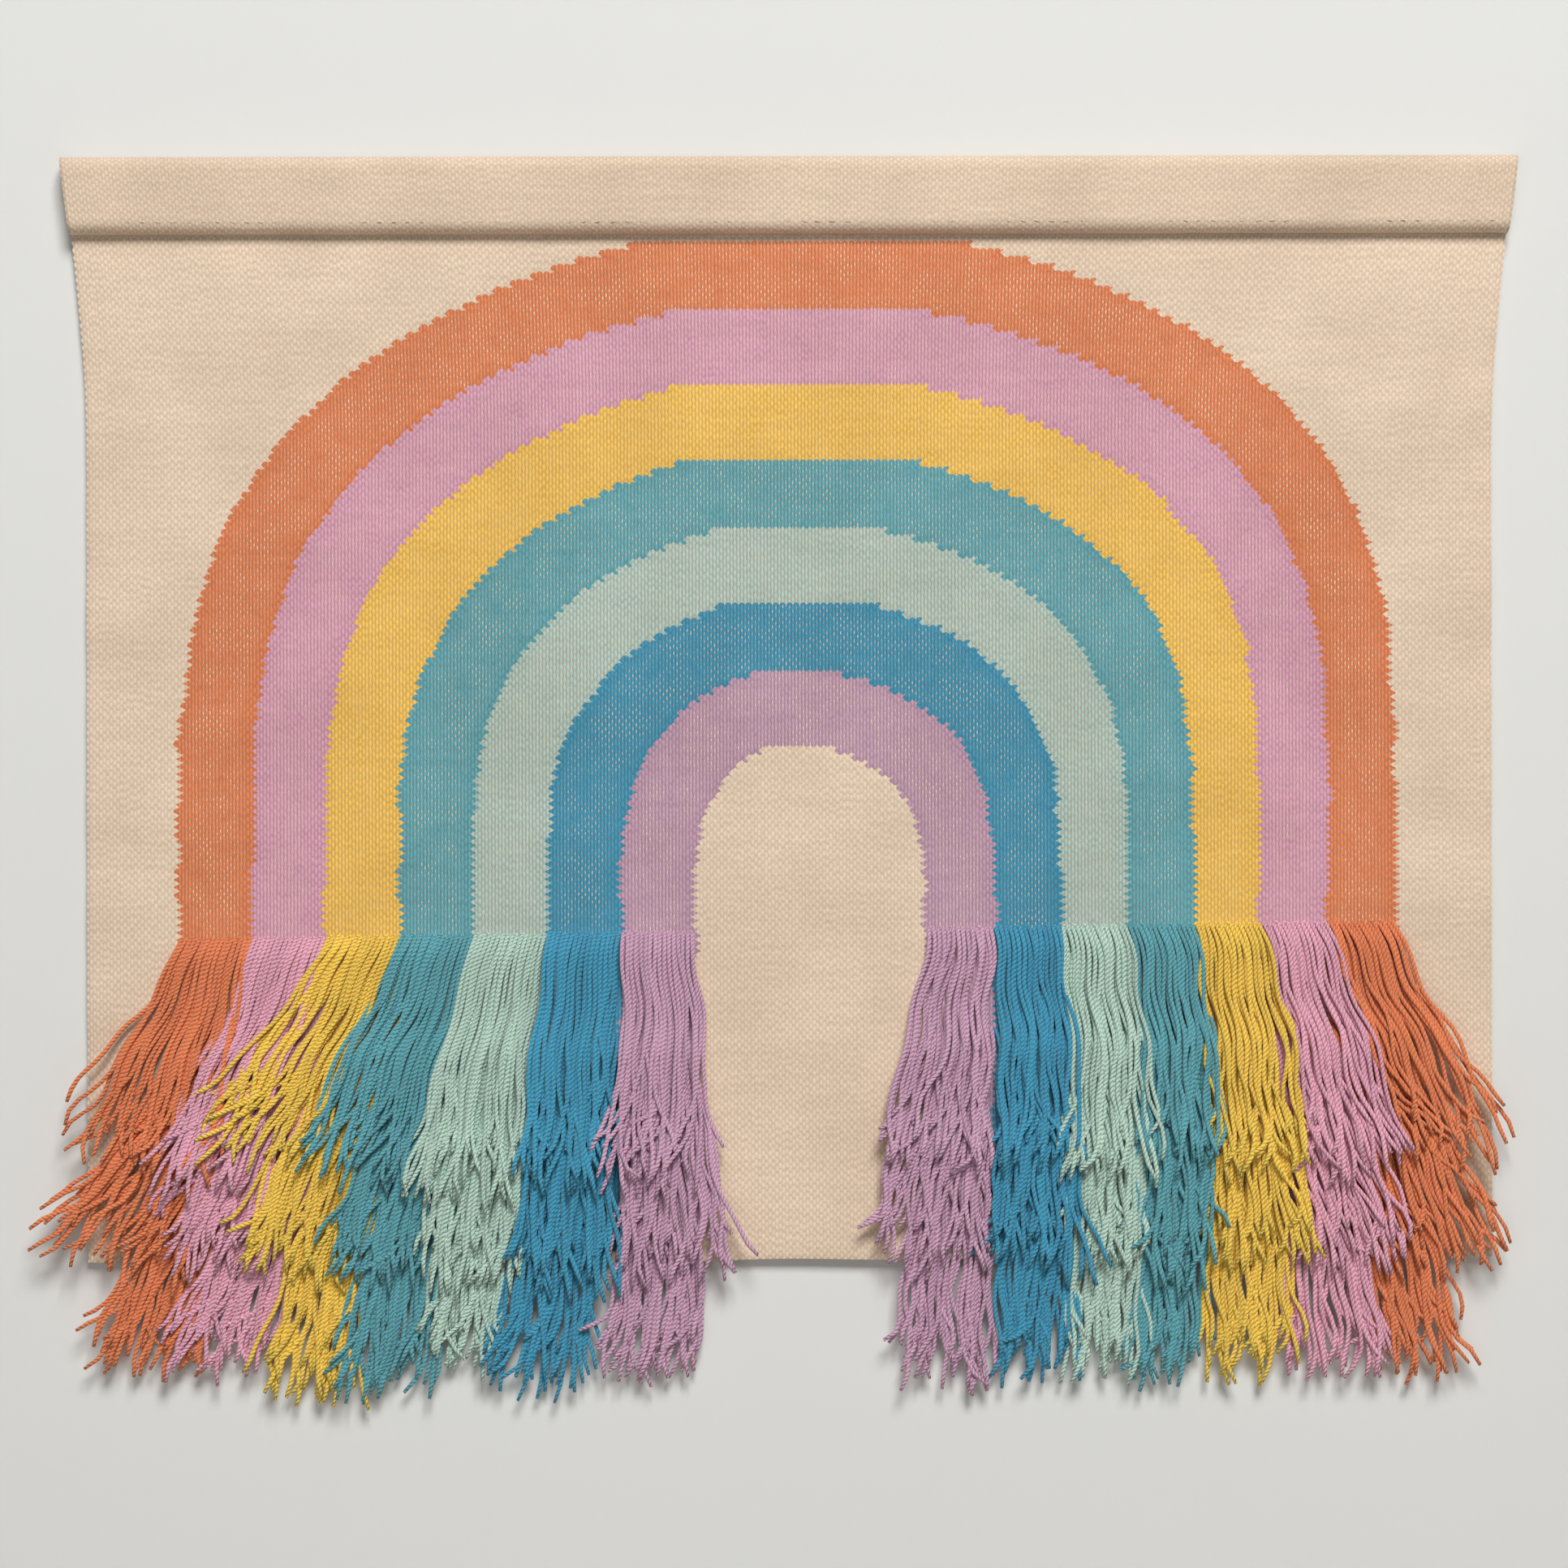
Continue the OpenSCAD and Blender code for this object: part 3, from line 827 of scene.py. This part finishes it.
def yarnMaterial(dye):
    recipe = Recipe("yarn_" + dye, 0.82, 0.3, (1.0, 0.96, 0.92))
    maths = recipe.maths
    u, v, _ = recipe.parts(recipe.map("yarn"))
    turns = maths("SUBTRACT", maths("MULTIPLY", v, 2.0 / yarn["turn"]), maths("MULTIPLY", u, 2.0))
    ply = maths("ABSOLUTE", maths("SUBTRACT", maths("MULTIPLY", maths("FRACT", turns), 2.0), 1.0))
    ridge = maths("SUBTRACT", 1.0, maths("POWER", ply, 2.4))
    alongYarn = recipe.join(maths("MULTIPLY", turns, 3.0), maths("MULTIPLY", v, 900.0))
    fibres = recipe.noise(alongYarn, 1.0, 2.0, 0.6)
    colour = linear(yarn["dyes"][dye])
    # painted shade in the grooves between the plies and painted highlight on their ridges
    paintedShade = [c * 0.76 for c in colour]
    paintedLight = [min(1.0, c * 1.06) for c in colour]
    body = recipe.mix(recipe.fade(ridge, 0.0, 0.8), paintedShade, paintedLight)
    tone = recipe.mix(recipe.attribute("tone"), (0.86, 0.86, 0.87), (1.07, 1.07, 1.06))
    body = recipe.mix(1.0, body, tone, "MULTIPLY")
    # the tips are drawn paler: frayed fibres, with painted light shining through the thin fluff
    frayedAndLitTips = recipe.fade(recipe.attribute("tip"), 0.9, 1.0)
    body = recipe.mix(maths("MULTIPLY", frayedAndLitTips, 0.3), body, [min(1.0, c * 1.35 + 0.03) for c in colour])
    height = maths("ADD", ridge, maths("MULTIPLY", fibres, 0.25))
    return recipe.finish(body, height, 0.0006)


def clampedStep(value):
    value = np.clip(value, 0, 1)
    return value * value * (3 - 2 * value)


def strandPaths(side, band, tier, row, lows, highs, knotY):
    # every strand of one tier as a path from its knot down to its tip
    drape = legs[side][bandNames[band]]
    below = len(tierNames) - 1 - tier
    pitch = (row[0] - row[-1]) / (len(tierNames) - 1)
    tierStep = (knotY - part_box(f"fringe_{bandNames[band]}_{side}_{tierNames[0]}")[0][1]) / len(tierNames)
    width = highs - lows
    lean, spread = drape["lean"][tier] / 1000, drape["spread"][tier] / 1000
    sway = drape["sway"] / 1000
    t = np.linspace(0, 1, yarn["rings"]) ** 1.15
    clumpPull = rng.normal(0, 1, (yarn["clumps"], 3))
    phase = rng.uniform(-0.5, 0.5) + (0 if side == "right" else 2.4)
    reachDown = yarn["length"] * rng.uniform(*yarn["tierUneven"])
    strands = []
    layers = yarn["layers"][tier]
    for layer in range(layers):
        loops = max(3, round(width / yarn["perLayer"]) - layer)
        count = 2 * loops
        for m in range(count):
            f = (m + 0.5) / count
            clump = min(yarn["clumps"] - 1, int(f * yarn["clumps"] + rng.uniform(-0.3, 0.3) + 0.0001))
            pull = clumpPull[max(0, clump)]
            length = reachDown * rng.uniform(*yarn["uneven"]) * (1 - 0.02 * layer + 0.02 * pull[2])
            reach = lean + (f - 0.5) * (spread - width)
            x = reach * t ** 1.3 + sway * np.sin(math.pi * t) * (0.8 + 0.4 * rng.random())
            bow = yarn["clumpBow"] * pull[1] * np.sin(math.pi * (1.4 * t + pull[0])) * t
            x += yarn["clumpLean"] * pull[0] * t ** 1.6 + bow
            x += rng.normal(0, yarn["spreadOut"]) * t ** 1.6
            bend = 2 * math.pi * t * yarn["length"] / yarn["waveLength"] * rng.uniform(0.93, 1.07)
            begin = phase + 0.3 * pull[1] + rng.normal(0, 0.25)
            kink = yarn["wave"][side] * rng.uniform(0.8, 1.2)
            x += kink * (np.sin(bend + begin) - math.sin(begin)) * (1 - 0.4 * t)
            x += yarn["drift"] * np.sin(2 * math.pi * (t * rng.uniform(0.8, 1.8) + rng.random())) * t ** 2
            x += yarn["curl"] * np.sin(2 * math.pi * (t * rng.uniform(2.2, 3.4) + rng.random())) * t ** 4
            lift = rng.uniform(-0.0006, 0.0006) * clampedStep(6 * t) + rng.normal(0, 0.0005) * t
            if rng.random() < yarn["strays"]:
                astray = rng.choice([-1, 1]) * rng.uniform(*yarn["strayOut"])
                x += astray * np.clip((t - 0.6) / 0.4, 0, 1) ** 2
                lift -= rng.uniform(*yarn["strayLift"]) * t ** 2
            ds = length * np.diff(t)
            dx = np.clip(np.diff(x), -0.92 * ds, 0.92 * ds)
            fall = np.concatenate([[0], np.cumsum(np.sqrt(ds ** 2 - dx ** 2))])
            x = np.concatenate([[0], np.cumsum(dx)]) + lows + f * width
            z = row[tier] - yarn["rootDrop"] * layer - fall
            out = np.zeros_like(z)
            for k in range(1, below + 1):
                lower = row[tier] - k * pitch
                out += clampedStep((lower + yarn["stepOut"] - z) / (2 * yarn["stepOut"]))
            rest = knotY - out * tierStep - yarn["knotDepth"]
            rest = rest - (layers - 1 - layer) * yarn["depth"] / (layers - 1) + lift
            root = hangY(x[0], z[0]) - cloth["thick"] / 2 + yarn["rootSink"]
            y = root + (rest - root) * clampedStep(fall / 0.008 + 0.05)
            # a leg lies on the one it leans over, and under the one that leans over it
            over = (lows + lean * t * 0.5 - x, x - highs - lean * t * 0.5)
            onto, under = over if lean < 0 else over[::-1]
            y -= yarn["lapOver"] * clampedStep(onto / 0.014) - yarn["tuckUnder"] * clampedStep(under / 0.008)
            strands.append((layer, m, np.stack([x, y, z], 1), rng.random(), f))
    return strands


def addTier(side, band, tier, rows, lows, highs, knotY, material):
    name = bandNames[band]
    node = f"fringe_{name}_{side}_{tierNames[tier]}"
    strands = strandPaths(side, band, tier, rows, lows, highs, knotY)
    sides = yarn["sides"]
    points, faces, uvs, tones, tips = [], [], [], [], []
    start = 0
    for first, second in zip(strands[0::2], strands[1::2]):
        a, b = first[2], second[2]
        gap = b[0] - a[0]
        angle = np.linspace(0, math.pi, yarn["loopRings"] + 2)[1:-1]
        arch = (a[0] + b[0]) / 2 - np.cos(angle)[:, None] * gap / 2
        arch[:, 2] += np.sin(angle) * abs(gap[0]) * yarn["loopHigh"]
        arch[:, 1] += 0.0004
        path = np.concatenate([a[::-1], arch, b])
        rings = len(path)
        along = np.concatenate([[0], np.cumsum(np.linalg.norm(np.diff(path, axis=0), axis=1))])
        swell = np.ones(rings)
        swell[[0, -1]] = yarn["endSwell"][0]
        swell[[1, -2]] = yarn["endSwell"][1]
        radius = yarn["radius"] * swell * (0.92 + 0.16 * first[3])
        points.append(tube(path, radius, sides))
        shell = tubeFaces(rings, sides)
        top = (rings - 1) * sides
        firstCap = np.array([[3, 2, 1, 0], [5, 4, 3, 0]])
        lastCap = np.array([[0, 1, 2, 3], [0, 3, 4, 5]]) + top
        faces.append(np.concatenate([shell, firstCap, lastCap]) + start)
        j, k = [g.ravel() for g in np.indices((rings - 1, sides))]
        at = along + rng.random()
        u0, u1, v0, v1 = k / sides, (k + 1) / sides, at[j], at[j + 1]
        corners = ((u0, v0), (u1, v0), (u1, v1), (u0, v1))
        shellUv = np.stack([np.stack(corner, 1) for corner in corners], 1)
        capUv = np.full((4, 4, 2), 0.5)
        capUv[:, 1::2, 0] += 0.01
        capUv[:2, :, 1] = at[0]
        capUv[2:, :, 1] = at[-1]
        uvs.append(np.concatenate([shellUv, capUv]))
        tones.append(np.repeat(np.linspace(first[3], second[3], rings), sides))
        tips.append(np.repeat(np.abs(np.linspace(-1, 1, rings)), sides))
        start += rings * sides
    shades = {"tone": np.concatenate(tones), "tip": np.concatenate(tips)}
    points, faces = np.concatenate(points), np.concatenate(faces)
    piece = newPiece(node.replace("fringe", "yarns"), points, faces, material, **shades)
    layer = piece.data.uv_layers.new(name="yarn")
    layer.data.foreach_set("uv", np.concatenate(uvs).astype(np.float32).ravel())
    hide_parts(node)
    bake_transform(piece)
    return piece


def addFringe():
    pieces = {name: [] for name in bandNames}
    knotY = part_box("fringe_mint_left_lower")[1][1]
    for side in ("left", "right"):
        for band, name in enumerate(bandNames):
            outer, inner = archBoxes[band], archBoxes[band + 1]
            if side == "left":
                lows, highs = outer[0][0], inner[0][0]
            else:
                lows, highs = inner[1][0], outer[1][0]
            boxes = [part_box(f"fringe_{name}_{side}_{tierName}") for tierName in tierNames]
            rows = [box[1][2] for box in boxes]
            for tier in range(len(tierNames)):
                pieces[name].append(addTier(side, band, tier, rows, lows, highs, knotY, yarns[name]))
    return pieces


yarns = {name: yarnMaterial(name) for name in bandNames}
fringes = addFringe()
print("the fringe is knotted:", sum(len(group) for group in fringes.values()), "tiers")
